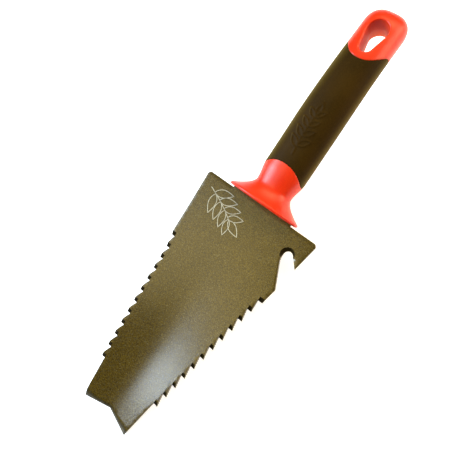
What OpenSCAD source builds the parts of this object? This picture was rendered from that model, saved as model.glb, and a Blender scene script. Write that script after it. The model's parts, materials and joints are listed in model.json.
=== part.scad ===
// Hori hori digging knife: a saw-edged steel blade whose tang is moulded into a two-material handle.
// The tool is drawn along its handle (+Y to the handle's end, +X to the hook side, +Z out of the
// concave face) and is then laid on its back on the plane z = 0, as it would rest on a bench.

/* [Blade] */
// Width across the shoulder
shoulder_w = 90; // [80:1:100]
// Length from the shoulder to the two points
blade_len = 170; // [160:1:180]
// Steel thickness, measured upright
plate_t = 2.8; // [2:0.2:3.6]
// Slope of the blade against the handle, in degrees
blade_slope = 7.3; // [4:0.1:10]
// How far the long edges rise for each millimetre from the centre line, at the tip
dish_slope = 0.2; // [0.05:0.01:0.25]
// Width between the two points
tip_w = 38; // [30:1:44]
// Depth of the V between the points
tip_notch = 5.2; // [3:0.2:9]

/* [Teeth] */
// Teeth on each long edge
teeth = 12; // [8:1:13]
// Distance from one tooth to the next
pitch = 8.31; // [7:0.01:8.5]
// Depth of a tooth
tooth_depth = 3.1; // [2:0.1:3.6]
// Length of the ground bevel on each tooth's short face
tooth_bevel = 3.2; // [1:0.1:3.4]

/* [Handle] */
// Length from the shoulder to the end of the handle
handle_len = 145.7; // [142:0.1:156]
// Half the width of the grip
grip_a = 15.3; // [13:0.1:17]
// Half the depth of the grip
grip_b = 12.4; // [11:0.1:14]
// Half the width of the flange
flange_a = 27.2; // [24:0.1:30]
// Half the depth of the flange
flange_b = 17; // [15:0.1:20]
// Rise of the bowed handle to each side of its line
bow = 2.4; // [0:0.1:3]
// Thickness of the soft grip
grip_t = 2.4; // [1.6:0.1:3]
// Radius of the round top of the hang hole
hole_r = 6.9; // [5:0.1:7.2]

/* [Hidden] */
$fn = 48;
far = 60;                     // reach of a cutting tool past the part

// Blade plan: the long edges
tooth_1 = [39.1, 50.2];       // end of the plain edge below the shoulder, and how far down it is
tooth_2_x = 36.9;             // half width at the second tooth's point
tooth_step_x = 1.12;          // how much narrower each further tooth stands
row_offset = 0.7;             // the left row sits this much nearer the points, the right row further
lower_x = 22.5;               // half width where the plain lower edge starts
corner_r = 2.5;
back_bulge = 0.45;            // height of the curved tooth backs on the left edge
bevel_steep = 0.65;           // depth of a tooth bevel for each millimetre of its length

// Blade plan: the twine notch in the right edge
twine_c = [34.1, -16.3];      // centre of its round root
twine_r = 3.2;
twine_side = 45;              // direction of its upper side, in degrees below +X
twine_low = [40.75, -38];     // where its lower side meets the edge
twine_bevel = 2.4;            // depth of the cone that grinds the crescent round the root
twine_bevel_r = 4.85;         // the cone's radius at the front face
twine_bevel_low_r = 1.8;      // and at its lowest, inside the notch
twine_bevel_shift = 0.7;      // how far it stands towards the shoulder and the middle of the blade

// Blade surface
flat_len = 24;                // the plate is flat this far below the shoulder
dish_start = 20;
dish_len = 130;
crease_r = 9;                 // softness of the crease along the middle
sag = 3.14;                   // how much the blade curves back towards the handle's line
sag_len = 145;
tip_bevel_run = 5.7;          // length of the ground band at the points
point_land = 0.3;             // steel left unground at the points
apex_land = 1.4;              // and in the middle of the V

// Tang
step_w = 47.4;                // raised step that enters the flange
tang_w = 17;
tang_len = 76;
tang_knee = 12;               // where the tang turns to follow the handle
tang_knee_z = -1.53;
tang_end_z = 1.2;
key_r = 3;                    // holes that the moulded core flows through
key_y = [30, 54];

// Handle
flange_y = 1;                 // underside of the flange, clear of the shoulder
rim_r = 1.6;
rim_y = 2.8;
neck_y = 14;
neck_a = 13.4;
neck_b = 11;
swell_y = 27;                 // the grip has its full section from here
taper_y = 57;                 // and narrows from here to the dome
dome_y = 131.5;
end_a = 14.3;
end_b = 11.3;
dome_bulge = 0.4;             // how far the tilted dome reaches past its middle
bow_y0 = 8;                   // lowest point of the bow
bow_half = 87;                // distance from its lowest point to its highest
section_power = 2.3;          // above 2, the section is a fuller oval than an ellipse
ring_n = 32;

// Split lines between the hard core and the soft grip
split_low = 24;
split_high = 118.8;
tongue_low = 7.3;             // height of the lower tongues of the hard core, on the front and back
tongue_half = 13;             // height above and below the middle over which they rise
tongue_power = 2;
tongue_high = 11.5;           // how far its upper tongues reach down, on the front and back
tongue_wide = 14.5;           // distance from the centre line at which they run out
tongue_curve = 2.5;

// Hang hole
hole_y = 128.2;
hole_low_y = 116.3;
hole_low_r = 4.2;

function smooth(t) = let (u = min(max(t, 0), 1)) u * u * (3 - 2 * u);
function mix(a, b, t) = a + (b - a) * t;

// ---- blade surface: height of the front face at (x, -s) ----
function line_z(s) = tan(blade_slope) * s - (s > flat_len ? sag * pow((s - flat_len) / sag_len, 2) : 0);
function dish_z(x, s) = dish_slope * smooth((s - dish_start) / dish_len)
    * (sqrt(x * x + crease_r * crease_r) - crease_r);
function blade_z(x, s) = line_z(s) + (s > flat_len ? dish_z(x, s) - dish_z(x, flat_len) : 0);

// ---- blade plan ----
function tip_of(i, down) = i == 0
    ? [tooth_1[0], -tooth_1[1] - down]
    : [tooth_2_x - tooth_step_x * (i - 1), -tooth_1[1] - down - pitch * i];
function root_of(i, down) = tip_of(i, down) - [i == teeth - 1 ? tip_of(i, 0)[0] - lower_x : tooth_depth, 0];
// Points from one gullet to the next tooth's point, with a bulge across the back
function tooth_back(a, b, bulge) = let (d = b - a, n = [-d[1], d[0]] / norm(d))
    [for (k = [1 : 3]) a + d * k / 4 + n * bulge * 4 * (k / 4) * (1 - k / 4)];
function edge_points(down, bulge) = [
    for (i = [0 : teeth - 1]) each concat(
        i == 0 ? [] : tooth_back(root_of(i - 1, down), tip_of(i, down), bulge),
        [tip_of(i, down), root_of(i, down)])
];
function mirrored(points) = [for (k = [len(points) - 1 : -1 : 0]) [-points[k][0], points[k][1]]];
function corner(r) = [for (k = [0 : 6]) [shoulder_w / 2 - r, -r] + r * [sin(15 * k), cos(15 * k)]];

module blade_plan() {
    half_tang = [[tang_w / 2 - 1, tang_len], [tang_w / 2, neck_y], [step_w / 2 - 3, rim_y + 3],
        [step_w / 2, rim_y], [step_w / 2, 0]];
    right = concat(half_tang, corner(corner_r), edge_points(-row_offset, 0), [[tip_w / 2, -blade_len]]);
    left = mirrored(concat(half_tang, corner(corner_r), edge_points(row_offset, back_bulge),
        [[tip_w / 2, -blade_len]]));
    difference() {
        polygon(concat(right, [[0, tip_notch - blade_len]], left));
        twine_notch_plan();
    }
}

// The notch that catches twine: a round root, a straight upper side and a lower side that bends outwards
module twine_notch_plan() {
    bend_r = 12;
    bend_turn = 28;
    bend_drop = 0.6;
    bend_steps = 4;
    past_edge = 20;
    bend_c = twine_c + [bend_r - twine_r, -bend_drop];
    root = [for (a = [90 - twine_side : 15 : 180]) twine_c + twine_r * [cos(a), sin(a)]];
    bend = [for (k = [0 : bend_steps]) let (a = 180 + bend_turn * k / bend_steps)
        bend_c + bend_r * [cos(a), sin(a)]];
    upper_side = [cos(twine_side), -sin(twine_side)];
    lower_side = (twine_low - bend[bend_steps]) / norm(twine_low - bend[bend_steps]);
    // the last three corners lie past the blade's edge
    polygon(concat(root, bend,
        [twine_low + past_edge / 2 * lower_side, [far, twine_low[1]], root[0] + past_edge * upper_side]));
}

// ---- blade solid ----
module side_band() {
    top = [[-flat_len, line_z(flat_len)], [0, 0], [tang_knee, tang_knee_z], [tang_len + 1, tang_end_z]];
    low = [for (k = [3 : -1 : 0]) top[k] - [0, plate_t]];
    translate([-far, 0, 0]) rotate([90, 0, 90]) linear_extrude(2 * far) polygon(concat(top, low));
}

// The pressed part of the blade: a grid of points on the front face and the same grid below it
module dished_sheet() {
    xs = [-50, -38, -28, -20, -13, -8, -4, 0, 4, 8, 13, 20, 28, 38, 50];
    rows = 15;
    nx = len(xs);
    run = blade_len + 4 - flat_len;
    ss = [for (j = [0 : rows]) flat_len + run * j / rows];
    front = [for (s = ss) for (x = xs) [x, -s, blade_z(x, s)]];
    back = [for (p = front) p - [0, 0, plate_t]];
    n = len(front);
    cells = [for (j = [0 : rows - 1]) for (i = [0 : nx - 2]) j * nx + i];
    top_faces = [for (c = cells) each [[c, c + 1, c + nx], [c + 1, c + nx + 1, c + nx]]];
    low_faces = [for (f = top_faces) [f[2] + n, f[1] + n, f[0] + n]];
    end_faces = [for (i = [0 : nx - 2]) each [[i + 1, i, i + n], [i + 1, i + n, i + 1 + n]]];
    e = rows * nx;
    tip_faces = [for (i = [0 : nx - 2])
        each [[e + i, e + i + 1, e + i + n], [e + i + 1, e + i + 1 + n, e + i + n]]];
    left_faces = [for (j = [0 : rows - 1]) let (c = j * nx)
        each [[c, c + nx, c + n], [c + nx, c + nx + n, c + n]]];
    right_faces = [for (j = [0 : rows - 1]) let (c = j * nx + nx - 1)
        each [[c + nx, c, c + n], [c + nx, c + n, c + nx + n]]];
    polyhedron(concat(front, back),
        concat(top_faces, low_faces, end_faces, tip_faces, left_faces, right_faces));
}

// Ground facet on the front of each tooth's short face, cut a little proud of the tooth all round
module tooth_bevels(down, side) {
    proud = 1;
    for (i = [0 : teeth - 1]) {
        p = root_of(i, down);
        z = blade_z(p[0] + tooth_depth / 2, -p[1]);
        translate([side * p[0] - proud + (side < 0 ? -tooth_depth : 0), p[1], z])
            rotate([90, 0, 90])
            linear_extrude(tooth_depth + 2 * proud)
            polygon([
                [tooth_bevel + proud, bevel_steep * proud],
                [-proud, bevel_steep * proud],
                [-proud, -bevel_steep * (tooth_bevel + proud)]
            ]);
    }
}

// Ground band along both limbs of the V, deeper at the points than at the middle
module tip_bevels() {
    a = [0, tip_notch - blade_len, blade_z(0, blade_len - tip_notch) - plate_t + apex_land];
    p = [tip_w / 2, -blade_len, blade_z(tip_w / 2, blade_len) - plate_t + point_land];
    limb = norm([p[0], p[1] - a[1]]);
    turn = atan2(tip_notch, tip_w / 2);
    rise = atan2(p[2] - a[2], limb);
    lean = atan2(plate_t - point_land, tip_bevel_run);
    proud = 8;
    for (side = [0, 1])
        mirror([side, 0, 0])
            translate(a)
            rotate([0, -rise, -turn])
            rotate([lean, 0, 0])
            translate([-proud / 4, -proud, 0])
            cube([limb + proud, 2 * proud, proud]);
}

// Cone that grinds the crescent round the twine notch's root
module twine_bevel_cone() {
    proud = 2;
    shift = [-twine_bevel_shift, twine_bevel_shift];
    flare = (twine_bevel_r - twine_bevel_low_r) / twine_bevel;
    translate(concat(twine_c + shift, line_z(-twine_c[1]) - twine_bevel))
        cylinder(h = twine_bevel + proud, r1 = twine_bevel_low_r, r2 = twine_bevel_r + flare * proud);
}

module blade_solid() {
    difference() {
        intersection() {
            translate([0, 0, -far]) linear_extrude(2 * far) blade_plan();
            union() {
                side_band();
                dished_sheet();
            }
        }
        tooth_bevels(-row_offset, 1);
        tooth_bevels(row_offset, -1);
        tip_bevels();
        twine_bevel_cone();
        for (y = key_y) translate([0, y, -far / 2]) cylinder(h = far, r = key_r);
    }
}

// ---- handle surface: half width, half depth and height of the middle at y ----
function dome(y, start, power) = let (u = max(0, (y - start) / (handle_len - start)))
    pow(max(0, 1 - pow(u, power)), 1 / power);
function rim_inset(y) = y >= rim_y ? 0 : rim_r - sqrt(max(0, rim_r * rim_r - pow(rim_y - y, 2)));
function flare(y) = pow(max(0, 1 - (y - rim_y) / (neck_y - rim_y)), 1.7);
function body_size(y, neck, grip, end) = y < neck_y ? neck
    : y < taper_y ? mix(neck, grip, smooth((y - neck_y) / (swell_y - neck_y)))
    : mix(grip, end, smooth((y - taper_y) / (dome_y - taper_y)));
function half_width(y) = (body_size(y, neck_a, grip_a, end_a)
    + (y < neck_y ? (flange_a - neck_a) * min(1, flare(y)) : 0) - rim_inset(y)) * dome(y, dome_y, 2.8);
function half_depth(y) = (body_size(y, neck_b, grip_b, end_b)
    + (y < neck_y ? (flange_b - neck_b) * min(1, flare(y)) : 0) - rim_inset(y)) * dome(y, dome_y - 4, 2.4);
function middle_z(y) = -bow * cos(180 * (y - bow_y0) / bow_half);

function oval(a, b, k) = let (t = 360 * k / ring_n, c = cos(t), s = sin(t), e = 2 / section_power)
    [a * sign(c) * pow(abs(c), e), b * sign(s) * pow(abs(s), e)];
function ring(y, inset) = [for (k = [0 : ring_n - 1])
    let (p = oval(half_width(y) - inset, half_depth(y) - inset, k)) [p[0], y, middle_z(y) + p[1]]];

// A closed skin through one oval ring for each value in ys
module loft(ys, inset) {
    points = [for (y = ys) each ring(y, inset)];
    rows = len(ys);
    sides = [for (j = [0 : rows - 2]) for (k = [0 : ring_n - 1])
        let (a = j * ring_n + k, b = j * ring_n + (k + 1) % ring_n)
        each [[a, b, a + ring_n], [b, b + ring_n, a + ring_n]]];
    first = [for (k = [ring_n - 1 : -1 : 0]) k];
    last = [for (k = [0 : ring_n - 1]) (rows - 1) * ring_n + k];
    polyhedron(points, concat(sides, [first, last]));
}

module handle_skin() {
    rim = [for (k = [0 : 2]) mix(flange_y, rim_y, k / 3)];
    neck = [for (k = [0 : 6]) mix(rim_y, neck_y, k / 6)];
    swell = [for (k = [1 : 4]) mix(neck_y, swell_y, k / 4)];
    grip = [for (k = [1 : 7]) mix(swell_y, dome_y - 4, k / 7)];
    end = [for (k = [1 : 8]) mix(dome_y - 4, handle_len - 0.1, sin(90 * k / 8))];
    loft(concat(rim, neck, swell, grip, end), 0);
}

module spine_skin() {
    loft([for (k = [0 : 9]) mix(neck_y + 1, dome_y - 2, k / 9)], grip_t);
}

// The block between the two split lines. The lower one curves with the depth of the handle. The upper
// one curves with its width, so that the soft grip stays clear of the hang hole all the way through.
module grip_zone() {
    steps = 10;
    reach = 20;
    low = [for (k = [-steps : steps]) let (z = reach * k / steps, share = min(1, abs(z) / tongue_half))
        [split_low + tongue_low * pow(share, tongue_power), z + middle_z(split_low)]];
    high = [for (k = [steps : -1 : -steps])
        [tongue_wide * k / steps, split_high - tongue_high * (1 - pow(abs(k / steps), tongue_curve))]];
    intersection() {
        translate([-far, 0, 0]) rotate([90, 0, 90]) linear_extrude(2 * far)
            polygon(concat(low, [[handle_len, reach], [handle_len, -reach]]));
        translate([0, 0, -far]) linear_extrude(2 * far)
            polygon(concat([[-reach, 0], [reach, 0], [reach, split_high]], high, [[-reach, split_high]]));
    }
}

module hang_hole() {
    side = acos((hole_r - hole_low_r) / (hole_y - hole_low_y));
    translate([0, 0, -far]) linear_extrude(2 * far) {
        translate([0, hole_y]) circle(hole_r);
        translate([0, hole_low_y]) circle(hole_low_r);
        polygon([
            [hole_r * sin(side), hole_y - hole_r * cos(side)],
            [-hole_r * sin(side), hole_y - hole_r * cos(side)],
            [-hole_low_r * sin(side), hole_low_y - hole_low_r * cos(side)],
            [hole_low_r * sin(side), hole_low_y - hole_low_r * cos(side)]
        ]);
    }
}

// ---- resting pose: the flange's back and the blade's tip lie on z = 0 ----
rim_low = [rim_y, middle_z(rim_y) - flange_b];
tip_low = [tip_notch - blade_len, blade_z(0, blade_len - tip_notch) - plate_t];
rest_tilt = atan2(tip_low[1] - rim_low[1], rim_low[0] - tip_low[0]);
point_z = blade_z(tip_w / 2, blade_len) - plate_t + point_land;
rest_front = blade_len * cos(rest_tilt) + point_z * sin(rest_tilt);
rest_back = handle_len * cos(rest_tilt) + dome_bulge;
rest_lift = -(rim_low[0] * sin(rest_tilt) + rim_low[1] * cos(rest_tilt));

module at_rest() {
    translate([0, (rest_front - rest_back) / 2, rest_lift]) rotate([rest_tilt, 0, 0]) children();
}

module blade() {
    color("darkolivegreen") at_rest() blade_solid();
}

module handle_core() {
    color("tomato") at_rest() difference() {
        handle_skin();
        difference() {
            grip_zone();
            spine_skin();
        }
        hang_hole();
        blade_solid();
    }
}

module grip_sleeve() {
    color("#33270f") at_rest() difference() {
        intersection() {
            handle_skin();
            grip_zone();
        }
        spine_skin();
    }
}

blade();
handle_core();
grip_sleeve();
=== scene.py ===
"""Looks for the hori hori knife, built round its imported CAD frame.

The shape code works in millimetres in the tool frame, as part.scad does: +Y runs from the shoulder line to
the end of the handle, +X points to the edge with the twine notch, and +Z comes out of the concave face.
place() lays the points down into the row frame, in metres.
"""
import json
import math

import bpy
import bmesh
import numpy as np
from mathutils import Euler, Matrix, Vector
from mathutils.geometry import delaunay_2d_cdt


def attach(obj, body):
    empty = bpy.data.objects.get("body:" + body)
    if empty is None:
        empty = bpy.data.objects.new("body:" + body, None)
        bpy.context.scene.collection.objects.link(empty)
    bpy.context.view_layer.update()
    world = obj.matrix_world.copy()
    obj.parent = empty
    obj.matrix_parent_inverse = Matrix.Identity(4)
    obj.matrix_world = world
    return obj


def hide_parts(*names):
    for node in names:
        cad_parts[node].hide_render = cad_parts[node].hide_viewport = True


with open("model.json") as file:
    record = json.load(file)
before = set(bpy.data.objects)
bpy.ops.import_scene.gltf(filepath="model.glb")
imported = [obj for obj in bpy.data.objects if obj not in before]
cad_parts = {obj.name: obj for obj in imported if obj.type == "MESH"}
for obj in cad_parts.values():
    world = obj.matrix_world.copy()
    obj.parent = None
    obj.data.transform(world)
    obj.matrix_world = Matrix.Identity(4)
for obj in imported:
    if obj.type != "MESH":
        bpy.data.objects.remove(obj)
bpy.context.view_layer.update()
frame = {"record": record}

MM = 0.001

# ---- the shape's driving values, as in part.scad, in millimetres and degrees ----
SHOULDER_W = 90.0
BLADE_LEN = 170.0
PLATE_T = 2.8
BLADE_SLOPE = math.radians(7.3)
DISH_SLOPE = 0.2
TIP_W = 38.0
TIP_NOTCH = 5.2
TEETH = 12
PITCH = 8.31
TOOTH_DEPTH = 3.1
TOOTH_BEVEL = 3.2
BEVEL_STEEP = 0.65
HANDLE_LEN = 145.7
GRIP_A = 15.3
GRIP_B = 12.4
FLANGE_A = 27.2
FLANGE_B = 17.0
BOW = 2.4
GRIP_T = 2.4
HOLE_R = 6.9

TOOTH_1 = (39.1, 50.2)
TOOTH_2_X = 36.9
TOOTH_STEP_X = 1.12
ROW_OFFSET = 0.7
LOWER_X = 22.5
CORNER_R = 2.5
BACK_BULGE = 0.45
TWINE_C = np.array([34.1, -16.3])
TWINE_R = 3.2
TWINE_SIDE = math.radians(45)
TWINE_LOW = np.array([40.75, -38.0])
TWINE_BEVEL_R = 4.85
TWINE_BEVEL_SHIFT = 0.7
BEND_R = 12.0
BEND_TURN = math.radians(28)
BEND_DROP = 0.6

FLAT_LEN = 24.0
DISH_START = 20.0
DISH_LEN = 130.0
CREASE_R = 9.0
SAG = 3.14
SAG_LEN = 145.0
TIP_BEVEL_RUN = 5.7
POINT_LAND = 0.3
APEX_LAND = 1.4

STEP_W = 47.4
TANG_W = 17.0
TANG_LEN = 76.0
TANG_Y = (0.0, 12.0, 77.0)
TANG_Z = (0.0, -1.53, 1.2)
TANG_TAPER = 1.0           # how much nearer the middle each side of the tang is at its end
STEP_RAMP = 3.0            # the corners of the raised step are cut off by this much

FLANGE_Y = 1.0
RIM_Y = 2.8
NECK_Y = 14.0
NECK_A = 13.4
NECK_B = 11.0
NECK_CURVE = 1.7           # how hollow the flange's flare is
SWELL_Y = 27.0
TAPER_Y = 57.0
DOME_Y = 131.5
END_A = 14.3
END_B = 11.3
BOW_Y0 = 8.0
BOW_HALF = 87.0
SECTION_POWER = 2.3
DOME_LEAD = 4.0            # the dome starts this much earlier on the front and back than at the sides
DOME_POWERS = (2.8, 2.4)   # fullness of the dome at the sides, and on the front and back
SPLIT_LOW = 24.0
SPLIT_HIGH = 118.8
TONGUE_LOW = 7.3
TONGUE_HALF = 13.0
TONGUE_POWER = 2.0
TONGUE_HIGH = 11.5
TONGUE_WIDE = 14.5
TONGUE_CURVE = 2.5
HOLE_Y = 128.2
HOLE_LOW_Y = 116.3
HOLE_LOW_R = 4.2
HOLE_MOUNT_Y = 123.5

# ---- details that only the looks have ----
EDGE_ROUND = 0.22          # rounding of the sheet steel's edges
FACET_WALL = 0.08          # width in plan of the upright wall beside each ground facet
TOUCH = 0.01               # points this close to a line count as lying on it
CRESCENT_DEEP = 2.1        # depth of the ground crescent at the twine notch's root
LAND_SHARE = 0.4           # the share of a thin edge's height that its rounding may take
OUTLINE_STEP = 3.0         # longest stretch between two points of the blade's outline
FILL_STEP = 2.0            # distance between the points that fill the blade's faces
FILL_CLEAR = 0.9           # and how far they stay from its edges and facets
RIM_ROUND = 1.6            # rounding of the flange's rim
SEAM_ROUND = 0.35          # rounding of both parts where the soft grip meets the hard core
HOLE_ROUND = 1.2           # rounding of the hang hole's rims
HOLE_DRAFT = 0.7           # how much narrower the hang hole is at its middle
DOME_SHORT = 0.1           # how far the rounded end stays inside the CAD's
RIM_SHORT = 0.15           # and how far the back and front of the flange do
CORE_STEP = 0.36    # cell of the grid that the core's surface is found on


def middle_z(y):
    """Height of the bowed handle's middle line."""
    return -BOW * np.cos(np.pi * (y - BOW_Y0) / BOW_HALF)


# ---- tool frame to row frame, from the record's hang hole mount ----
hole_mount = next(m for m in frame["record"]["mounts"] if m["name"] == "hang_hole")
TILT_SIN = -hole_mount["axis"][1]
TILT_COS = hole_mount["axis"][2]


def laid_down(points):
    """Turns tool-frame points by the resting tilt, still in millimetres."""
    p = np.asarray(points, float).reshape(-1, 3)
    y = p[:, 1] * TILT_COS - p[:, 2] * TILT_SIN
    z = p[:, 1] * TILT_SIN + p[:, 2] * TILT_COS
    return np.column_stack((p[:, 0], y, z))


hole_middle = (0, HOLE_MOUNT_Y, middle_z(HOLE_MOUNT_Y))
REST_OFFSET = np.array(hole_mount["pos_m"]) - laid_down(hole_middle)[0] * MM


def place(points):
    """Tool-frame millimetres to row-frame metres."""
    return laid_down(points) * MM + REST_OFFSET


# ---- small helpers ----
def smooth(t):
    """A step from 0 to 1 that starts and ends gently."""
    u = np.clip(t, 0, 1)
    return u * u * (3 - 2 * u)


def mix(a, b, t):
    """The value that lies the share t of the way from a to b."""
    return a + (b - a) * t


def round_max(a, b, radius):
    """The larger of two distances, with the edge between them rounded."""
    corner = np.hypot(np.maximum(a + radius, 0), np.maximum(b + radius, 0))
    return np.minimum(-radius, np.maximum(a, b)) + corner


def make_mesh(name, points, faces, sharp_angle=35, face_slots=None):
    """A smooth-shaded mesh object from tool-frame points. Edges sharper than the angle stay sharp."""
    mesh = bpy.data.meshes.new(name)
    mesh.from_pydata(place(points).tolist(), [], [list(map(int, f)) for f in faces])
    if face_slots is not None:
        mesh.polygons.foreach_set("material_index", face_slots)
    work = bmesh.new()
    work.from_mesh(mesh)
    bmesh.ops.recalc_face_normals(work, faces=work.faces)
    work.to_mesh(mesh)
    work.free()
    mesh.shade_smooth()
    mesh.set_sharp_from_angle(angle=math.radians(sharp_angle))
    mesh.update()
    piece = bpy.data.objects.new(name, mesh)
    bpy.context.scene.collection.objects.link(piece)
    return piece


# ---- leaf sprig, a plain ornament that stands on the blade and in the grip ----
STEM_END = 0.8             # where the stem ends and its last leaf starts, as a share of the length
STEM_SWAY = 0.04           # how far the stem sways, as a share of the length
LEAF_SPAN = (0.14, 0.74)   # where the first and the last pair of leaves stand
LEAF_STAGGER = 0.04        # how much further along the second leaf of a pair stands
LEAF_LEAN = math.radians(48)
LEAF_HALF = 0.2            # half width of a leaf, as a share of its length
LEAF_SHRINK = 0.3          # how much smaller the leaves get along the stem
LAST_LEAF = 0.9


def sprig_lines(length, leaf, pairs, steps=14):
    """Outlines of a stem with pairs of leaves and one end leaf, along +X from the origin."""

    def on_stem(t):
        return np.array([length * t, STEM_SWAY * length * math.sin(3 * t)])

    def leaf_outline(base, angle, size):
        t = np.linspace(0, 1, steps)
        width = LEAF_HALF * size * np.sin(np.pi * t ** 0.8)
        upper = np.column_stack((t * size, width))
        lower = np.column_stack((t * size, -width))[::-1]
        return turned(np.vstack((upper, lower[1:])), angle, base)

    lines = [np.array([on_stem(t) for t in np.linspace(0, STEM_END, steps)])]
    for k in range(pairs):
        t = mix(*LEAF_SPAN, k / max(1, pairs - 1))
        size = leaf * (1 - LEAF_SHRINK * t)
        lines.append(leaf_outline(on_stem(t), LEAF_LEAN, size))
        lines.append(leaf_outline(on_stem(t) + (LEAF_STAGGER * length, 0), -LEAF_LEAN, size))
    lines.append(leaf_outline(on_stem(STEM_END), 0.0, LAST_LEAF * leaf))
    return lines


def turned(line, angle, at):
    """A line of 2-D points, turned about the origin and then moved."""
    c, s = math.cos(angle), math.sin(angle)
    return line @ np.array([[c, s], [-s, c]]) + np.asarray(at, float)


def distance_to_lines(points, lines):
    """Shortest distance from each 2-D point to any segment of the lines."""
    best = np.full(len(points), 1e9)
    for line in lines:
        for a, b in zip(line[:-1], line[1:]):
            d = b - a
            t = np.clip(((points - a) @ d) / max(d @ d, 1e-12), 0, 1)
            best = np.minimum(best, np.hypot(*(points - a - t[:, None] * d).T))
    return best


# ---- blade surface ----
def line_z(s):
    """Height of the front face on the middle line, s below the shoulder."""
    return math.tan(BLADE_SLOPE) * s - SAG * (np.maximum(s - FLAT_LEN, 0) / SAG_LEN) ** 2


def dish_z(x, s):
    """How far the dish rises above the middle line."""
    return DISH_SLOPE * smooth((s - DISH_START) / DISH_LEN) * (np.hypot(x, CREASE_R) - CREASE_R)


def sheet_z(x, y):
    """Front face of the pressed sheet: the dished blade below the shoulder line, the tang above it."""
    s = np.maximum(-y, 0)
    dish = np.where(s > FLAT_LEN, dish_z(x, s) - dish_z(x, FLAT_LEN), 0)
    return np.where(y < 0, line_z(s) + dish, np.interp(y, TANG_Y, TANG_Z))


def tip_of(i, down):
    """Point of tooth i, in a row that stands this far down."""
    x = TOOTH_1[0] if i == 0 else TOOTH_2_X - TOOTH_STEP_X * (i - 1)
    return np.array([x, -TOOTH_1[1] - down - (PITCH * i if i else 0)])


def root_of(i, down):
    """Inner end of tooth i's short face."""
    tip = tip_of(i, down)
    return np.array([LOWER_X if i == TEETH - 1 else tip[0] - TOOTH_DEPTH, tip[1]])


# For each side: how far down its row of teeth stands, and the bulge of its tooth backs
ROWS = {1: (-ROW_OFFSET, 0.0), -1: (ROW_OFFSET, BACK_BULGE)}

APEX = np.array([0, TIP_NOTCH - BLADE_LEN])
POINT = np.array([TIP_W / 2, -BLADE_LEN])
APEX_Z = float(sheet_z(*APEX)) - PLATE_T + APEX_LAND
POINT_Z = float(sheet_z(*POINT)) - PLATE_T + POINT_LAND
LIMB = (POINT - APEX) / np.linalg.norm(POINT - APEX)
LIMB_LEN = np.linalg.norm(POINT - APEX)
BAND_SLOPE = (PLATE_T - POINT_LAND) / TIP_BEVEL_RUN
BAND_REACH = 10.0          # the ground band ends within this distance above the middle of the V
SHADE_WALL_FROM_Y = -46.0        # below this line the walls of the left edge and of the teeth's short faces get the near-black coat as painted shade


def tip_band_cut(x, y):
    """How far the ground band at the V lies below the front face (negative where there is no band)."""
    dx, dy = np.abs(x) - APEX[0], y - APEX[1]
    along = dx * LIMB[0] + dy * LIMB[1]
    off = dy * LIMB[0] - dx * LIMB[1]
    plane = APEX_Z + (POINT_Z - APEX_Z) * along / LIMB_LEN + BAND_SLOPE * off
    return sheet_z(x, y) - plane


# At its lowest, the cone that grinds the crescent touches the notch's round root on the side it is shifted to
CONE_C = TWINE_C + np.array([-TWINE_BEVEL_SHIFT, TWINE_BEVEL_SHIFT])
CONE_LOW_R = TWINE_R - TWINE_BEVEL_SHIFT * math.sqrt(2)


def ground_depth(x, y):
    """Depth ground away from the front face at the tooth facets, the tip's band and the twine notch."""
    depth = np.maximum(tip_band_cut(x, y), 0)
    depth = np.where(y < APEX[1] + BAND_REACH, depth, 0)
    for side, (down, _) in ROWS.items():
        for i in range(TEETH):
            tip, root = tip_of(i, down), root_of(i, down)
            rise = y - tip[1]
            on_tooth = (x * side > root[0] + FACET_WALL / 2) & (rise > -TOUCH) & (rise < TOOTH_BEVEL)
            depth = np.where(on_tooth, BEVEL_STEEP * (TOOTH_BEVEL - rise), depth)
    from_cone = np.hypot(x - CONE_C[0], y - CONE_C[1])
    cone = CRESCENT_DEEP * (TWINE_BEVEL_R - from_cone) / (TWINE_BEVEL_R - CONE_LOW_R)
    return np.maximum(depth, np.clip(cone, 0, CRESCENT_DEEP))


def front_z(x, y):
    """Height of the front face, ground faces included."""
    return sheet_z(x, y) - ground_depth(x, y)


def back_z(x, y):
    return sheet_z(x, y) - PLATE_T


# ---- blade plan ----
def tooth_back_point(a, b, bulge, t):
    """Point on the back of a tooth, which runs from a to b and bulges in its middle."""
    d = b - a
    n = np.array([-d[1], d[0]]) / np.linalg.norm(d)
    return a + d * t + n * bulge * 4 * t * (1 - t)


def long_edge(side):
    """One saw-toothed edge from the plain stretch down to the point, mirrored to x > 0, with labels."""
    down, bulge = ROWS[side]
    points = []
    before = TWINE_LOW if side > 0 else np.array([SHOULDER_W / 2, -CORNER_R])
    for i in range(TEETH):
        tip, root = tip_of(i, down), root_of(i, down)
        facet_t = 1 - TOOTH_BEVEL / (before[1] - tip[1])
        for t in (0.25, 0.5, facet_t):
            curve = bulge if i else 0
            label = ("facet_out", side, i) if t == facet_t else None
            points.append((tooth_back_point(before, tip, curve, t), label))
        points.append((tip, None))
        points.append((root + (FACET_WALL, 0), ("facet_low", side, i)))
        points.append((root, ("facet_high", side, i)))
        before = root
    for t in np.linspace(0, 1, 15)[1:]:
        points.append((mix(before, POINT, t), None))
    return points


def band_top(x_share, side):
    """Point on the upper edge of the ground band, x_share of the way from the V's middle to a point.
    It is found by halving the stretch that it lies in."""
    x = x_share * POINT[0]
    low, high = APEX[1] - BAND_REACH, APEX[1] + BAND_REACH
    for _ in range(40):
        y = (low + high) / 2
        if tip_band_cut(x, y) > 0:
            low = y
        else:
            high = y
    return np.array([x * side, low])


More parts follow.
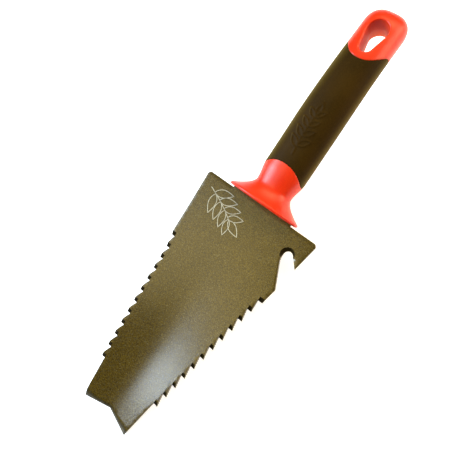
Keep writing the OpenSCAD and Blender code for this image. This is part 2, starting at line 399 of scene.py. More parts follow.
def twine_notch():
    """The notch's outline from the hook's point round the root to the lower corner."""
    root = [TWINE_C + TWINE_R * np.array([math.cos(a), math.sin(a)])
            for a in np.linspace(math.pi / 2 - TWINE_SIDE, math.pi, 12)]
    bend_c = TWINE_C + np.array([BEND_R - TWINE_R, -BEND_DROP])
    bend = [bend_c + BEND_R * np.array([math.cos(a), math.sin(a)])
            for a in np.linspace(math.pi, math.pi + BEND_TURN, 6)]
    edge_from, edge_to = np.array([SHOULDER_W / 2, -CORNER_R]), tip_of(0, ROWS[1][0])
    mouth = np.array([math.cos(TWINE_SIDE), -math.sin(TWINE_SIDE)])
    edge = edge_to - edge_from
    cross = edge[0] * mouth[1] - edge[1] * mouth[0]
    start = root[0] - edge_from
    along = (start[0] * mouth[1] - start[1] * mouth[0]) / cross
    return [edge_from + edge * along] + root + bend + [TWINE_LOW]


# Half widths of the tang, from the raised step under the flange to its end
TANG_HALF_Y = (RIM_Y, RIM_Y + STEP_RAMP, NECK_Y, TANG_LEN)
TANG_HALF = (STEP_W / 2, STEP_W / 2 - STEP_RAMP, TANG_W / 2, TANG_W / 2 - TANG_TAPER)


def blade_outline():
    """Closed plan outline with labels, counter-clockwise."""
    tang = [(half, y) for half, y in reversed(list(zip(TANG_HALF, TANG_HALF_Y)))] + [(STEP_W / 2, 0)]
    corner = [(SHOULDER_W / 2 - CORNER_R * (1 - math.sin(a)), -CORNER_R * (1 - math.cos(a)))
              for a in np.linspace(0, math.pi / 2, 7)]
    right = [(np.array(p), None) for p in tang + corner]
    right += [(p, None) for p in twine_notch()]
    right += long_edge(1)
    left = [(np.array(p), None) for p in tang + corner] + long_edge(-1)
    outline = right + [(APEX, ("apex",))]
    outline += [(p * (-1, 1), label) for p, label in reversed(left)]
    dense = []
    for (a, label), (b, _) in zip(outline, outline[1:] + outline[:1]):
        dense.append((a, label))
        parts = int(np.linalg.norm(b - a) // OUTLINE_STEP)
        dense += [(mix(a, b, k / (parts + 1)), None) for k in range(1, parts + 1)]
    dense.reverse()
    return np.array([p for p, _ in dense]), [label for _, label in dense]


def is_index(point):
    """Whether a line's point is an index into the loop, and not a 2-D point of its own."""
    return isinstance(point, (int, np.integer))


def inset_loop(loop, distance):
    """The loop moved inwards by a distance at each corner."""
    before, after = np.roll(loop, 1, axis=0), np.roll(loop, -1, axis=0)

    def normal(a, b):
        d = b - a
        n = np.column_stack((-d[:, 1], d[:, 0]))
        return n / np.linalg.norm(n, axis=1)[:, None]

    n1, n2 = normal(before, loop), normal(loop, after)
    spread = np.maximum(1 + np.sum(n1 * n2, axis=1), 0.25)
    return loop + distance * (n1 + n2) / spread[:, None]


def inside_loop(points, loop):
    """Which points lie inside a closed loop, by counting the sides crossed on the way out."""
    inside = np.zeros(len(points), bool)
    for a, b in zip(loop, np.roll(loop, -1, axis=0)):
        if a[1] == b[1]:
            continue
        crosses = (a[1] > points[:, 1]) != (b[1] > points[:, 1])
        inside ^= crosses & (points[:, 0] < a[0] + (points[:, 1] - a[1]) * (b[0] - a[0]) / (b[1] - a[1]))
    return inside


def fill(loop, lines, spacing, clear):
    """Triangles inside a closed loop that keep the lines as edges, with even points between.
    A line is a list of loop indices and 2-D points. The first points returned are the loop's own."""
    points = [tuple(p) for p in loop]
    edges = []
    for line in lines:
        ids = []
        for p in line:
            if is_index(p):
                ids.append(int(p))
            else:
                ids.append(len(points))
                points.append(tuple(p))
        edges += list(zip(ids[:-1], ids[1:]))
    low, high = loop.min(0), loop.max(0)
    xs = np.arange(math.ceil(low[0] / spacing), high[0] / spacing) * spacing
    ys = np.arange(low[1] + spacing / 2, high[1], spacing)
    grid = np.array([(x + (spacing / 2 if k % 2 else 0), y) for k, y in enumerate(ys) for x in xs])
    grid = grid[inside_loop(grid, loop)]
    walls = [np.vstack((loop, loop[:1]))]
    walls += [np.array([loop[p] if is_index(p) else p for p in line]) for line in lines]
    grid = grid[distance_to_lines(grid, walls) > clear]
    points += [tuple(p) for p in grid]
    out, _, faces, origin, _, _ = delaunay_2d_cdt(
        [Vector(p) for p in points], edges, [list(range(len(loop)))], 1, 1e-5)
    plan = np.array([tuple(p) for p in out])
    ring_id = {}
    for k, sources in enumerate(origin):
        ring = [s for s in sources if s < len(loop)]
        if ring:
            ring_id[k] = ring[0]
    return plan, faces, ring_id


# the second coat is near-black: on the ground facets and the twine crescent, and as painted shade on the
# walls of the left edge and the teeth's short faces
OLIVE, GROUND_AND_SHADE, BAND = 0, 1, 2    # the blade's coats, in the order of its materials
GROUND_FROM = 0.03         # a face looks ground where it is cut at least this deep


def build_blade():
    """One closed sheet: rings round the edge with rounded corners, and faces with the ground facets."""
    outline, labels = blade_outline()
    at = {label: k for k, label in enumerate(labels) if label}
    n = len(outline)
    rounding = [(EDGE_ROUND * (1 - math.sin(a)), EDGE_ROUND * (1 - math.cos(a)))
                for a in np.radians((0, 30, 60, 90))]
    land = (front_z(*outline.T) - back_z(*outline.T)) / EDGE_ROUND
    squeeze = np.minimum(1, LAND_SHARE * land)[:, None]
    rings = []
    for inset, drop in rounding:
        plan = mix(outline, inset_loop(outline, inset), squeeze)
        rings.append(np.column_stack((plan, front_z(*plan.T) - drop * squeeze[:, 0])))
    for inset, drop in reversed(rounding):
        plan = mix(outline, inset_loop(outline, inset), squeeze)
        rings.append(np.column_stack((plan, back_z(*plan.T) + drop * squeeze[:, 0])))
    points = list(np.vstack(rings))
    faces, slots = [], []
    for r in range(len(rings) - 1):
        for k in range(n):
            a, b = r * n + k, r * n + (k + 1) % n
            faces.append((a, b, b + n, a + n))
            here, after = outline[k], outline[(k + 1) % n]
            # walls of the left edge and of the teeth's short faces below this line take the near-black coat
            # as painted shade
            shade_wall = here[1] < SHADE_WALL_FROM_Y and (here[0] < 0 or abs(here[1] - after[1]) < TOUCH)
            slots.append(GROUND_AND_SHADE if shade_wall else OLIVE)

    lines = []
    for side, (down, _) in ROWS.items():
        for i in range(TEETH):
            root = root_of(i, down)
            for label, x, last in (("facet_low", root[0] + FACET_WALL, [at["facet_out", side, i]]),
                                   ("facet_high", root[0], [])):
                wall = [(side * x, root[1] + share * TOOTH_BEVEL) for share in (0.35, 0.7, 1)]
                lines.append([at[label, side, i]] + wall + last)
    shares = np.linspace(0, 0.93, 12)
    left_band = [tuple(band_top(u, -1)) for u in shares[::-1]]
    lines.append(left_band + [tuple(band_top(u, 1)) for u in shares[1:]])
    for radius in (TWINE_BEVEL_R, TWINE_BEVEL_R - 0.75, TWINE_BEVEL_R - 1.45):
        circle = np.array([CONE_C + radius * np.array([math.cos(a), math.sin(a)])
                           for a in np.radians(np.arange(-40, 300, 8))])
        inside = inside_loop(circle, rings[0][:, :2]) & (distance_to_lines(circle, [outline]) > 0.5)
        lines.append([tuple(p) for p in circle[inside]])

    front_plan, front_faces, front_ring = fill(rings[0][:, :2], lines, FILL_STEP, FILL_CLEAR)
    back_plan, back_faces, back_ring = fill(rings[-1][:, :2], [], FILL_STEP, FILL_CLEAR)
    for plan, tris, ring, height, first in (
            (front_plan, front_faces, front_ring, front_z, 0),
            (back_plan, back_faces, back_ring, back_z, (len(rings) - 1) * n)):
        z = height(*plan.T)
        ids = {}
        for k, p in enumerate(plan):
            if k in ring:
                ids[k] = first + ring[k]
            else:
                ids[k] = len(points)
                points.append(np.array((p[0], p[1], z[k])))
        for tri in tris:
            faces.append([ids[k] for k in tri])
            middle = plan[list(tri)].mean(0)
            if first or ground_depth(*middle) < GROUND_FROM:
                slots.append(OLIVE)
            else:
                slots.append(BAND if middle[1] < APEX[1] + BAND_REACH else GROUND_AND_SHADE)
    return make_mesh("knife_blade", points, faces, sharp_angle=33, face_slots=slots)


# ---- handle surface ----
def neck_flare(y):
    """How far the flange flares, from 1 at its rim to 0 at the neck."""
    return np.maximum(0, 1 - (y - RIM_Y) / (NECK_Y - RIM_Y)) ** NECK_CURVE


def body_size(y, neck, grip, end):
    """Half size of the handle without its flange and its rounded end."""
    low = mix(neck, grip, smooth((y - NECK_Y) / (SWELL_Y - NECK_Y)))
    high = mix(grip, end, smooth((y - TAPER_Y) / (DOME_Y - TAPER_Y)))
    return np.where(y < NECK_Y, neck, np.where(y < TAPER_Y, low, high))


def softened(values, reach):
    """The values, averaged twice over their neighbours within reach."""
    kernel = np.ones(2 * reach + 1) / (2 * reach + 1)
    padded = np.pad(values, 2 * reach, mode="edge")
    return np.convolve(np.convolve(padded, kernel, "valid"), kernel, "valid")


# Half sizes of the handle along its length, with the joins between the stretches softened
SIZE_Y = np.arange(-10, 160, 0.1)
SOFT = 5
flare = np.minimum(1, neck_flare(SIZE_Y)) * (SIZE_Y < NECK_Y)
HALF_A = softened(body_size(SIZE_Y, NECK_A, GRIP_A, END_A) + (FLANGE_A - NECK_A) * flare, SOFT)
HALF_B = softened(body_size(SIZE_Y, NECK_B, GRIP_B, END_B) + (FLANGE_B - RIM_SHORT - NECK_B) * flare, SOFT)
SLOPE_COS = 1 / np.hypot(1, softened(np.gradient(HALF_A, SIZE_Y), SOFT))


def skin(x, y, z, inset=0.0):
    """Roughly the distance outside the handle's surface, or outside it with its half sizes inset."""
    a = np.interp(y, SIZE_Y, HALF_A) - inset
    b = np.interp(y, SIZE_Y, HALF_B) - inset
    up = z - middle_z(y)
    u, v = np.abs(x) / a, np.abs(up) / b
    radial = (u ** SECTION_POWER + v ** SECTION_POWER) ** (1 / SECTION_POWER)
    share = v * v / np.maximum(u * u + v * v, 1e-9)
    start = DOME_Y - DOME_LEAD * share
    power = mix(*DOME_POWERS, share)
    end = np.maximum(0, (y - start) / (HANDLE_LEN - DOME_SHORT - inset - start))
    measure = (radial ** power + end ** power) ** (1 / power)
    reach = np.sqrt(x * x + up * up + np.maximum(0, y - start) ** 2)
    return reach * (1 - 1 / np.maximum(measure, 1e-6)) * np.interp(y, SIZE_Y, SLOPE_COS)


def lower_split(z):
    """Where the lower split line is, and how steep: it curves with the depth of the handle."""
    share = np.minimum(1, np.abs(z - middle_z(SPLIT_LOW)) / TONGUE_HALF)
    slope = TONGUE_LOW * TONGUE_POWER * share ** (TONGUE_POWER - 1) / TONGUE_HALF
    return SPLIT_LOW + TONGUE_LOW * share ** TONGUE_POWER, slope


def upper_split(x):
    """Where the upper split line is, and how steep: it curves with the width, clear of the hang hole."""
    share = np.minimum(1, np.abs(x) / TONGUE_WIDE)
    slope = TONGUE_HIGH * TONGUE_CURVE * share ** (TONGUE_CURVE - 1) / TONGUE_WIDE
    return SPLIT_HIGH - TONGUE_HIGH * (1 - share ** TONGUE_CURVE), slope


def hang_hole(x, y, z):
    """Distance to the side of the egg-shaped hole, which narrows towards its middle.
    The egg is two circles, h apart, and the straight sides that touch both."""
    h = HOLE_Y - HOLE_LOW_Y
    lean = (HOLE_LOW_R - HOLE_R) / h
    rest = math.sqrt(1 - lean * lean)
    px, py = np.abs(x), y - HOLE_LOW_Y
    k = -px * lean + py * rest
    side = px * rest + py * lean - HOLE_LOW_R
    low = np.hypot(px, py) - HOLE_LOW_R
    high = np.hypot(px, py - h) - HOLE_R
    egg = np.where(k < 0, low, np.where(k > rest * h, high, side))
    return egg + HOLE_DRAFT * (1 - np.minimum(1, np.abs(z - middle_z(y)) / END_B))


def tang_pocket(x, y, z):
    """Negative inside the slot that the tang fills."""
    half = np.interp(y, TANG_HALF_Y, TANG_HALF)
    middle = np.interp(y, TANG_Y, TANG_Z) - PLATE_T / 2
    return np.maximum(np.maximum(np.abs(x) - half, np.abs(z - middle) - PLATE_T / 2), y - TANG_LEN)


SPINE_FROM = 7.0           # the spine inside the soft grip starts in the collar


def core_field(x, y, z):
    """Negative inside the hard core."""
    low, low_slope = lower_split(z)
    high, high_slope = upper_split(x)
    outside_zone = np.maximum((low - y) / np.hypot(1, low_slope), (y - high) / np.hypot(1, high_slope))
    body = round_max(skin(x, y, z), FLANGE_Y - y, RIM_ROUND)
    ends = round_max(body, -outside_zone, SEAM_ROUND)
    spine = np.maximum(skin(x, y, z, GRIP_T), SPINE_FROM - y)
    solid = round_max(np.minimum(ends, spine), -hang_hole(x, y, z), HOLE_ROUND)
    return np.maximum(solid, -tang_pocket(x, y, z))


def surface_nets(field, low, high, step):
    """Quads over the zero surface of a field, with one point in each grid cell that it crosses."""
    counts = [int(math.ceil((b - a) / step)) + 1 for a, b in zip(low, high)]
    axes = [a + step * np.arange(c) for a, c in zip(low, counts)]
    # the field at the corners of the grid, one layer of y at a time
    values = np.empty(counts)
    for j, y in enumerate(axes[1]):
        gx, gz = np.meshgrid(axes[0], axes[2], indexing="ij")
        values[:, j, :] = field(gx, np.full_like(gx, y), gz)
    # each cell's point is the mean of the places where the surface crosses the cell's edges
    cells = tuple(c - 1 for c in counts)
    total = np.zeros(cells + (3,))
    hits = np.zeros(cells, int)
    crossings = []
    for axis in range(3):
        lead = [slice(None)] * 3
        lag = [slice(None)] * 3
        lead[axis], lag[axis] = slice(1, None), slice(None, -1)
        f0, f1 = values[tuple(lag)], values[tuple(lead)]
        cross = (f0 < 0) != (f1 < 0)
        share = np.where(cross, f0 / np.where(cross, f0 - f1, 1), 0)
        crossings.append((cross, f0 < 0))
        others = [k for k in range(3) if k != axis]
        for da in (0, 1):
            for db in (0, 1):
                cut = [slice(None)] * 3
                cut[others[0]] = slice(da, da + cells[others[0]])
                cut[others[1]] = slice(db, db + cells[others[1]])
                c = cross[tuple(cut)]
                total[..., axis] += np.where(c, share[tuple(cut)], 0)
                total[..., others[0]] += c * da
                total[..., others[1]] += c * db
                hits += c
    active = hits > 0
    index = np.full(cells, -1)
    index[active] = np.arange(active.sum())
    where = np.argwhere(active)
    points = np.array(low) + step * (where + total[active] / hits[active][:, None])
    # one quad round each edge of the grid that the surface crosses
    faces = []
    for axis in range(3):
        cross, inside = crossings[axis]
        u, v = [(1, 2), (2, 0), (0, 1)][axis]
        place_at = np.argwhere(cross)
        place_at = place_at[(place_at[:, u] > 0) & (place_at[:, v] > 0)
                            & (place_at[:, u] < counts[u] - 1) & (place_at[:, v] < counts[v] - 1)]
        du, dv = np.zeros(3, int), np.zeros(3, int)
        du[u], dv[v] = 1, 1
        ring = [index[tuple((place_at - s).T)] for s in (du + dv, dv, du * 0, du)]
        quads = np.column_stack(ring)
        outward = inside[tuple(place_at.T)]
        quads[~outward] = quads[~outward][:, ::-1]
        faces.append(quads)
    return points, np.vstack(faces)


def settle(points, field, limit, rounds=6, eps=0.01):
    """Moves points onto the zero surface of a field, along its slope."""
    p = points.copy()
    for _ in range(rounds):
        value = field(*p.T)
        slope = np.empty_like(p)
        for axis in range(3):
            shift = np.zeros(3)
            shift[axis] = eps
            slope[:, axis] = (field(*(p + shift).T) - field(*(p - shift).T)) / (2 * eps)
        size = np.maximum(np.sum(slope * slope, axis=1), 0.05)
        move = -slope * (value / size)[:, None]
        length = np.maximum(np.linalg.norm(move, axis=1), 1e-12)
        p += move * np.minimum(1, limit / length)[:, None]
    return p


def relaxed(points, quads):
    """Moves each point half way to the mean of its neighbours, which evens out the quads."""
    total, count = np.zeros_like(points), np.zeros(len(points))
    for a, b in ((0, 1), (1, 2), (2, 3), (3, 0)):
        for one, other in ((quads[:, a], quads[:, b]), (quads[:, b], quads[:, a])):
            np.add.at(total, one, points[other])
            np.add.at(count, one, 1)
    return mix(points, total / count[:, None], 0.5)


HOLE_NEAR = 0.3            # points this near the hole's side belong to its wall
HOLE_FADE = 0.3            # where the wall's painted shade and duller finish start, as a share of the rim's rounding


def build_core():
    """The hard core, with a value on each point that says how far it lies inside the hang hole."""
    low = (-FLANGE_A - 1, FLANGE_Y - 1.02, middle_z(0) - FLANGE_B - 1)
    high = (FLANGE_A + 1, HANDLE_LEN + 1, FLANGE_B + 1)
    points, faces = surface_nets(core_field, low, high, CORE_STEP)
    for _ in range(2):
        points = settle(relaxed(points, faces), core_field, CORE_STEP / 3, rounds=3)
    points = settle(points, core_field, CORE_STEP / 3)
    piece = make_mesh("knife_core", points, faces, sharp_angle=60)
    depth = -skin(*points.T) / HOLE_ROUND - HOLE_FADE
    in_hole = np.where(hang_hole(*points.T) < HOLE_NEAR, smooth(depth), 0)
    piece.data.attributes.new("in_hole", "FLOAT", "POINT").data.foreach_set("value", in_hole)
    return piece


# ---- soft grip: a sleeve whose rows run from one split line to the other ----
RELIEF_H = 0.38
RELIEF_W = 0.5
RELIEF_AT = (0.6, 38.0)
RELIEF_LEN = 34.0
RELIEF_LEAF = 9.5
LEAF_PAIRS = 4
relief_lines = [turned(line, math.radians(90), RELIEF_AT)
                for line in sprig_lines(RELIEF_LEN, RELIEF_LEAF, LEAF_PAIRS)]


def relief(x, y, up):
    """Height of the raised sprig on the front of the grip."""
    height = np.zeros(len(x))
    along = y - RELIEF_AT[1]
    near = (up > 0) & (np.abs(x) < RELIEF_LEAF + 1.5) & (along > -4) & (along < RELIEF_LEN + 6)
    d = distance_to_lines(np.column_stack((x[near], y[near])), relief_lines)
    height[near] = RELIEF_H * smooth(1.5 - d / RELIEF_W)
    return height


def ring_points(turn, y, inset):
    """Points on the oval section at y, one for each angle."""
    c, s = np.cos(turn), np.sin(turn)
    power = 2 / SECTION_POWER
    a = np.interp(y, SIZE_Y, HALF_A) - inset
    b = np.interp(y, SIZE_Y, HALF_B) - inset
    up = b * np.sign(s) * np.abs(s) ** power
    return np.column_stack((a * np.sign(c) * np.abs(c) ** power, y, middle_z(y) + up))


def split_on_ring(turn, low, inset):
    """Where the oval skin meets a split line, for each angle."""
    y = np.full(len(turn), SPLIT_LOW if low else SPLIT_HIGH)
    for _ in range(25):
        ring = ring_points(turn, y, inset)
        target, _ = lower_split(ring[:, 2]) if low else upper_split(ring[:, 0])
        y = mix(y, target, 0.6)
    return y


def build_grip():
    """The sleeve: end walls with rounded edges, the outer skin with its relief, and the inner skin."""
    columns, rows, inner_rows = ((224, 230, 16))
    turn = 2 * np.pi * np.arange(columns) / columns
    rounding = [(SEAM_ROUND * (1 - math.cos(a)), SEAM_ROUND * (1 - math.sin(a)))
                for a in np.radians((0, 22.5, 45, 67.5, 90))]
    low_wall = [(0, GRIP_T), (0, 0.5 * GRIP_T)] + rounding
    rings = []
    for along, inset in low_wall:
        rings.append(ring_points(turn, split_on_ring(turn, True, inset) + along, inset))
    y0 = split_on_ring(turn, True, 0.0) + SEAM_ROUND
    y1 = split_on_ring(turn, False, 0.0) - SEAM_ROUND
    for k in range(1, rows):
        ring = ring_points(turn, mix(y0, y1, k / rows), 0.0)
        up = ring[:, 2] - middle_z(ring[:, 1])
        ring[:, 2] += relief(ring[:, 0], ring[:, 1], up)
        rings.append(ring)
    for along, inset in reversed(low_wall):
        rings.append(ring_points(turn, split_on_ring(turn, False, inset) - along, inset))
    y0, y1 = split_on_ring(turn, True, GRIP_T), split_on_ring(turn, False, GRIP_T)
    for k in range(1, inner_rows):
        rings.append(ring_points(turn, mix(y1, y0, k / inner_rows), GRIP_T))
    points = np.vstack(rings)
    total = len(rings)
    faces = []
    for r in range(total):
        for k in range(columns):
            a, b = r * columns, ((r + 1) % total) * columns
            j = (k + 1) % columns
            faces.append((a + k, a + j, b + j, b + k))
    return make_mesh("knife_grip", points, faces, sharp_angle=50)


# ---- printed sprig on the blade: closed ribbons that stand a hair above the coat ----
MARK_W = 0.42
MARK_PROUD = 0.05
MARK_SUNK = 0.08
MARK_AT = (-36.5, -8.5)
MARK_TURN = math.radians(-27)
MARK_LEN = 34.0
MARK_LEAF = 14.5


def build_mark():
    ribbon = ((-0.5, -MARK_SUNK), (-0.5, MARK_PROUD), (0.5, MARK_PROUD), (0.5, -MARK_SUNK))
    lines = [turned(line, MARK_TURN, MARK_AT) for line in sprig_lines(MARK_LEN, MARK_LEAF, LEAF_PAIRS)]
    points, faces = [], []
    for line in lines:
        tangent = np.gradient(line, axis=0)
        normal = np.column_stack((-tangent[:, 1], tangent[:, 0]))
        normal /= np.linalg.norm(normal, axis=1)[:, None]
        first = len(points)
        for p, n in zip(line, normal):
            for side, lift in ribbon:
                x, y = p + n * side * MARK_W
                points.append((x, y, float(sheet_z(x, y)) + lift))
        for k in range(len(line) - 1):
            a = first + 4 * k
            for c in range(4):
                d = (c + 1) % 4
                faces.append((a + c, a + d, a + 4 + d, a + 4 + c))
        faces.append(range(first, first + 4))
        faces.append(range(len(points) - 1, len(points) - 5, -1))
    return make_mesh("blade_mark", points, faces, sharp_angle=30)


# ---- materials ----
class Nodes:
    """Short ways to add shader nodes to one material. Scales are in features for each metre."""

    def __init__(self, name):
        self.material = bpy.data.materials.new(name)
        self.material.use_nodes = True
        self.tree = self.material.node_tree
        self.shader = self.tree.nodes["Principled BSDF"]
        self.coords = self.add("ShaderNodeTexCoord").outputs["Object"]

    def add(self, kind, **values):
        node = self.tree.nodes.new(kind)
        for key, value in values.items():
            setattr(node, key, value)
        return node

    def link(self, a, b):
        self.tree.links.new(a, b)

    def noise(self, scale, detail=2.0, rough=0.5):
        node = self.add("ShaderNodeTexNoise")
        node.inputs["Scale"].default_value = scale
        node.inputs["Detail"].default_value = detail
        node.inputs["Roughness"].default_value = rough
        self.link(self.coords, node.inputs["Vector"])
        return node.outputs["Fac"]

    def flakes(self, scale):
        node = self.add("ShaderNodeTexVoronoi")
        node.inputs["Scale"].default_value = scale
        self.link(self.coords, node.inputs["Vector"])
        return node

    def ramp(self, value, stops):
        """Maps a value through (place, grey or colour) stops."""
        node = self.add("ShaderNodeValToRGB")
        elements = node.color_ramp.elements
        while len(elements) < len(stops):
            elements.new(0.5)
        for element, (where, colour) in zip(elements, stops):
            element.position = where
            element.color = ((colour,) * 3 if isinstance(colour, (int, float)) else colour) + (1,)
        self.link(value, node.inputs["Fac"])
        return node.outputs["Color"]

    def math(self, kind, a, b):
        node = self.add("ShaderNodeMath", operation=kind)
        for socket, value in zip(node.inputs, (a, b)):
            if isinstance(value, (int, float)):
                socket.default_value = value
            else:
                self.link(value, socket)
        return node.outputs[0]

    def blend(self, share, a, b, kind="MIX"):
        node = self.add("ShaderNodeMix", data_type="RGBA", blend_type=kind)
        sockets = [s for s in node.inputs if s.enabled]
        for socket, value in zip(sockets, (share, a, b)):
            if isinstance(value, (int, float)):
                socket.default_value = value
            elif isinstance(value, tuple):
                socket.default_value = value + (1,)
            else:
                self.link(value, socket)
        return [s for s in node.outputs if s.enabled][0]

    def bump(self, height, strength, distance):
        node = self.add("ShaderNodeBump")
        node.inputs["Strength"].default_value = strength
        node.inputs["Distance"].default_value = distance
        self.link(height, node.inputs["Height"])
        return node.outputs["Normal"]

    def set(self, **values):
        for key, value in values.items():
            socket = self.shader.inputs[key.replace("_", " ")]
            if isinstance(value, (int, float)):
                socket.default_value = value
            elif isinstance(value, tuple):
                socket.default_value = value if len(socket.default_value) == len(value) else value + (1,)
            else:
                self.link(value, socket)


FLAKE_METAL = 0.75         # how metallic the flakes are, over the coat between them
FLAKE_COLOUR = (0.26, 0.23, 0.13)
WORN_COLOUR = (0.42, 0.36, 0.23)


def coat_material(name, dark, mid, light, gloss, metallic, specular, wear, flakes):
    """Powder coat: fine uneven speckle with silvery flakes, an orange-peel bump and paler worn edges."""
    m = Nodes(name)
    speckle = m.ramp(m.noise(1250, 3, 0.6), [(0.34, dark), (0.5, mid), (0.66, light)])
    patches = m.ramp(m.noise(28, 3), [(0.3, 0.88), (0.7, 1.1)])
    colour = m.blend(1.0, speckle, patches, "MULTIPLY")
    cells = m.flakes(1400)
    flake = m.ramp(cells.outputs["Distance"], [(0.2, 0.8), (0.42, 0.0)])
    pick = m.ramp(cells.outputs["Color"], [(0.45, 0.0), (0.65, 1.0)])
    flake = m.math("MULTIPLY", m.math("MULTIPLY", flake, pick), flakes)
    colour = m.blend(m.math("MULTIPLY", flake, 0.7), colour, FLAKE_COLOUR)
    edge = m.ramp(m.add("ShaderNodeNewGeometry").outputs["Pointiness"], [(0.52, 0.0), (0.6, 1.0)])
    worn = m.math("MULTIPLY", edge, m.ramp(m.noise(420, 3), [(0.35, 0.15), (0.65, 0.8)]))
    colour = m.blend(m.math("MULTIPLY", worn, wear), colour, WORN_COLOUR)
    rough = m.math("ADD", m.math("MULTIPLY", m.noise(1700, 2), 0.16), gloss)
    peel = m.math("ADD", m.noise(900, 2), m.math("MULTIPLY", m.noise(2600, 2), 0.5))
    metal = m.math("ADD", m.math("MULTIPLY", flake, FLAKE_METAL), metallic)
    m.set(Base_Color=colour, Roughness=rough, Metallic=metal, Normal=m.bump(peel, 0.28, 0.00012))
    m.shader.inputs["Specular IOR Level"].default_value = specular
    return m.material


CORAL_DEEP = (0.65, 0.021, 0.002)
CORAL_PALE = (0.73, 0.034, 0.004)
# painted shade on the hang hole's wall, from its back to its front
HOLE_SHADE_BACK = (0.64, 0.085, 0.012)
HOLE_SHADE_FRONT = (0.55, 0.030, 0.001)


def core_material(front_z, back_z):
    """Glossy coral red plastic with faint flow marks. Inside the hang hole it is duller, and its colour is a
    painted shade, deeper red towards the front, between the heights of the hole's two ends."""
    m = Nodes("coral_plastic")
    flow = m.ramp(m.noise(34, 3), [(0.3, CORAL_DEEP), (0.7, CORAL_PALE)])
    split = m.add("ShaderNodeSeparateXYZ")
    m.link(m.coords, split.inputs[0])
    wavy = m.math("ADD", split.outputs["Z"], m.math("MULTIPLY", m.noise(180, 2), 0.002))
    depth = m.math("DIVIDE", m.math("SUBTRACT", wavy, back_z), front_z - back_z)
    # painted shade on the hole's wall, deeper red towards the front
    wall = m.ramp(depth, [(0.3, HOLE_SHADE_BACK), (0.8, HOLE_SHADE_FRONT)])
    in_hole = m.add("ShaderNodeAttribute", attribute_name="in_hole").outputs["Fac"]
    colour = m.blend(in_hole, flow, wall)
    grain = m.ramp(m.noise(1400, 2), [(0.4, 0.94), (0.6, 1.0)])
    colour = m.blend(1.0, colour, grain, "MULTIPLY")
    rough = m.math("ADD", m.math("MULTIPLY", m.noise(900, 2), 0.08), 0.31)
    rough = m.math("ADD", rough, m.math("MULTIPLY", in_hole, 0.2))
    skin_bump = m.math("ADD", m.noise(120, 1), m.math("MULTIPLY", m.noise(1500, 1), 0.2))
    m.set(Base_Color=colour, Roughness=rough, Normal=m.bump(skin_bump, 0.05, 0.0002),
          Specular_IOR_Level=m.math("SUBTRACT", 0.35, m.math("MULTIPLY", in_hole, 0.25)))
    inputs = m.shader.inputs
    inputs["Subsurface Weight"].default_value = 0.25
    inputs["Subsurface Radius"].default_value = (1.0, 0.25, 0.12)
    inputs["Subsurface Scale"].default_value = 0.004
    return m.material


GRIP_DARK = (0.019, 0.0088, 0.0003)
GRIP_PALE = (0.028, 0.0130, 0.0007)
GRIP_DUST = (0.050, 0.029, 0.004)
# colour of the painted sheen at the grip's edges
GRIP_PAINTED_SHEEN = (0.17, 0.108, 0.006)


def grip_material():
    """Matte dark elastomer with a fine moulded texture, dusty high spots and a painted olive sheen at its
    edges.
    """
    m = Nodes("dark_elastomer")
    tone = m.ramp(m.noise(45, 3), [(0.3, GRIP_DARK), (0.7, GRIP_PALE)])
    smudge = m.ramp(m.noise(16, 4, 0.6), [(0.35, 0.8), (0.65, 1.2)])
    tone = m.blend(1.0, tone, smudge, "MULTIPLY")
    dust = m.ramp(m.noise(1300, 3, 0.6), [(0.45, 0.0), (0.75, 1.0)])
    colour = m.blend(m.math("MULTIPLY", dust, 0.3), tone, GRIP_DUST)
    # painted sheen: an olive colour mixed into the base colour where the surface turns away from the view
    painted_sheen = m.add("ShaderNodeLayerWeight")
    painted_sheen.inputs["Blend"].default_value = 0.3
    painted_sheen = m.ramp(painted_sheen.outputs["Facing"], [(0.15, 0.0), (0.9, 1.0)])
    colour = m.blend(m.math("MULTIPLY", painted_sheen, 0.8), colour, GRIP_PAINTED_SHEEN)
    rough = m.math("ADD", m.math("MULTIPLY", m.noise(600, 3), 0.16), 0.48)
    texture = m.math("ADD", m.noise(1900, 2), m.math("MULTIPLY", m.noise(700, 2), 0.6))
    m.set(Base_Color=colour, Roughness=rough, Normal=m.bump(texture, 0.4, 0.00012))
    m.shader.inputs["Specular IOR Level"].default_value = 0.05
    return m.material


def mark_material():
    """Pale printed ink, a little broken where the coat's grain shows through."""
    m = Nodes("pale_print")
    worn_ink, full_ink = (0.30, 0.26, 0.17), (0.52, 0.49, 0.38)
    colour = m.ramp(m.noise(1600, 3, 0.6), [(0.35, worn_ink), (0.6, full_ink)])
    m.set(Base_Color=colour, Roughness=m.math("ADD", m.math("MULTIPLY", m.noise(900, 2), 0.2), 0.4),
          Normal=m.bump(m.noise(1500, 2), 0.2, 0.0001))
    return m.material


FLOOR_GLOW = 0.73


def floor_material():
    """White sweep, lit a little from below as on a light table."""
    m = Nodes("pale_floor")
    m.shader.inputs["Emission Color"].default_value = (1, 1, 1, 1)
    m.shader.inputs["Emission Strength"].default_value = FLOOR_GLOW
    colour = m.ramp(m.noise(6, 2), [(0.3, (0.90, 0.90, 0.90)), (0.7, (0.92, 0.92, 0.92))])
    m.set(Base_Color=colour, Roughness=m.math("ADD", m.math("MULTIPLY", m.noise(40, 2), 0.1), 0.7))
    return m.material


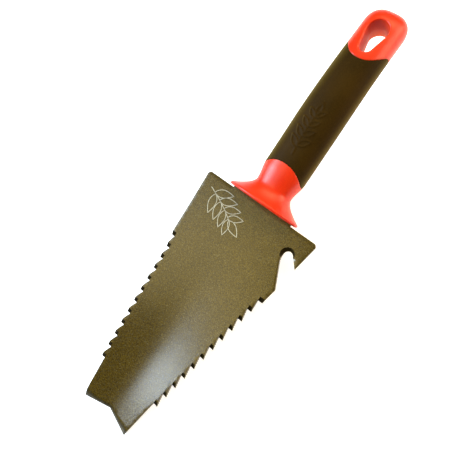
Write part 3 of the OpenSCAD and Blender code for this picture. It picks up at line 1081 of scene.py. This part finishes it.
# ---- the pieces ----
blade = build_blade()
for coat in (
        coat_material("olive_coat", (0.030, 0.0175, 0.0005), (0.060, 0.036, 0.002), (0.098, 0.063, 0.004),
                      gloss=0.17, metallic=0.1, specular=0.62, wear=0.2, flakes=1.0),
        # near-black coat of the ground facets and twine crescent, also painted shade on the left edge's and
        # short faces' walls
        coat_material("dark_ground_and_shade_coat", (0.006, 0.004, 0.0005), (0.012, 0.007, 0.001), (0.024, 0.015, 0.002),
                      gloss=0.45, metallic=0.0, specular=0.03, wear=0.0, flakes=0.1),
        # the ground band at the V: a darker coat, darkened further as painted shade for the limb turned away
        # from the lights
        coat_material("band_coat", (0.012, 0.0075, 0.0004), (0.028, 0.018, 0.001), (0.055, 0.037, 0.004),
                      gloss=0.26, metallic=0.0, specular=0.4, wear=0.0, flakes=0.5)):
    blade.data.materials.append(coat)
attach(blade, "root")
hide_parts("blade")

mark = build_mark()
mark.data.materials.append(mark_material())
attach(mark, "root")

core = build_core()
hole_z = [float(place((0, HOLE_MOUNT_Y, middle_z(HOLE_MOUNT_Y) + side * END_B))[0, 2]) for side in (1, -1)]
core.data.materials.append(core_material(*hole_z))
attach(core, "root")
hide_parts("handle_core")

grip = build_grip()
grip.data.materials.append(grip_material())
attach(grip, "root")
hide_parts("grip_sleeve")

# ---- floor, lights and camera ----
FLOOR_HALF = 6.0
FLOOR_GAP = 0.0001
floor_mesh = bpy.data.meshes.new("floor")
corners = [(-1, -1), (1, -1), (1, 1), (-1, 1)]
floor_points = [(x * FLOOR_HALF, y * FLOOR_HALF, -FLOOR_GAP) for x, y in corners]
floor_mesh.from_pydata(floor_points, [], [(0, 1, 2, 3)])
floor = bpy.data.objects.new("floor", floor_mesh)
floor.data.materials.append(floor_material())
bpy.context.scene.collection.objects.link(floor)


def softbox(name, direction, distance, size, power, colour):
    """A rectangular studio light that faces the middle of the tool."""
    light = bpy.data.lights.new(name, "AREA")
    light.shape = "RECTANGLE"
    light.size, light.size_y = size
    light.energy = power
    light.color = colour
    holder = bpy.data.objects.new(name, light)
    way = Vector(direction).normalized()
    holder.location = way * distance
    holder.rotation_euler = way.to_track_quat("Z", "Y").to_euler()
    bpy.context.scene.collection.objects.link(holder)


# name, direction, distance, size, power in watts, colour
softbox("key_low", (-0.70, -0.41, 0.585), 1.3, (0.62, 0.72), 22, (0.68, 0.83, 1.0))
softbox("key_high", (-0.70, -0.19, 0.69), 1.3, (0.60, 0.46), 10, (0.70, 0.85, 1.0))
softbox("overhead", (-0.31, -0.14, 0.94), 1.5, (0.64, 0.56), 3, (1.0, 0.86, 0.40))
softbox("top_back", (-0.05, 0.66, 0.75), 1.5, (1.0, 0.6), 12, (1.0, 0.86, 0.46))
softbox("fill_right", (0.68, 0.60, 0.42), 1.5, (1.2, 1.0), 22, (1.0, 0.88, 0.60))

WORLD_GLOW = 0.04
world = bpy.data.worlds.new("studio")
bpy.context.scene.world = world
world.use_nodes = True
world.node_tree.nodes["Background"].inputs["Color"].default_value = (1.0, 0.99, 0.97, 1)
world.node_tree.nodes["Background"].inputs["Strength"].default_value = WORLD_GLOW

CAMERA_AT = (89.28, 4.63, 283.16)                  # tool frame, in millimetres
CAMERA_TURN = (16.850, 12.001, 39.627)             # row frame, in degrees
camera = bpy.data.objects.new("camera", bpy.data.cameras.new("camera"))
camera.location = place(CAMERA_AT)[0]
camera.rotation_euler = Euler([math.radians(a) for a in CAMERA_TURN], "XYZ")
camera.data.lens = 36
camera.data.sensor_width = 36
camera.data.clip_start = 0.01
bpy.context.scene.collection.objects.link(camera)
bpy.context.scene.camera = camera
bpy.context.scene.view_settings.view_transform = "Standard"
